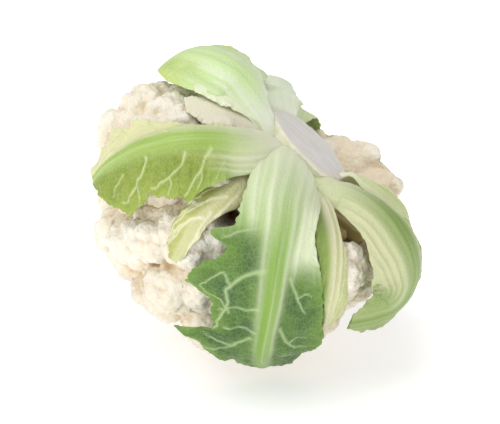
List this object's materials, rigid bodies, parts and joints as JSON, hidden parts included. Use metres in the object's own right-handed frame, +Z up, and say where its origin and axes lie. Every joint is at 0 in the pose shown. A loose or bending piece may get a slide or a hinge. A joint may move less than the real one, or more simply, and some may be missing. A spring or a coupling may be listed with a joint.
{
  "type": "cauliflower",
  "caption": "Cauliflower lying on its side on a small flat spot, with its cut stalk up and wrapper leaves curled round the white curd.",
  "frame": {"origin": "on the ground, at the middle of the whole plant's bounding box", "axes": "+Z up; -Y towards the side that shows the large green leaf and the stalk's cut; +X to the right as seen from there, the way the stalk leans"},
  "size_m": [0.1664, 0.1758, 0.1596],
  "materials": {
    "curd": "matte",
    "stalk": "satin",
    "pale_leaf": "satin",
    "light_green_leaf": "satin",
    "green_leaf": "satin"
  },
  "bodies": {
    "root": {"curd": "curd", "stalk": "stalk", "leaf_front": "green_leaf", "leaf_left": "light_green_leaf", "leaf_left_small": "light_green_leaf", "leaf_left_upper": "pale_leaf", "leaf_top": "light_green_leaf", "leaf_top_inner": "pale_leaf", "leaf_right": "light_green_leaf", "leaf_right_small": "pale_leaf", "leaf_right_outer": "pale_leaf", "leaf_back": "green_leaf", "leaf_back_left": "green_leaf", "leaf_stub_back": "pale_leaf"}
  },
  "joints": []
}
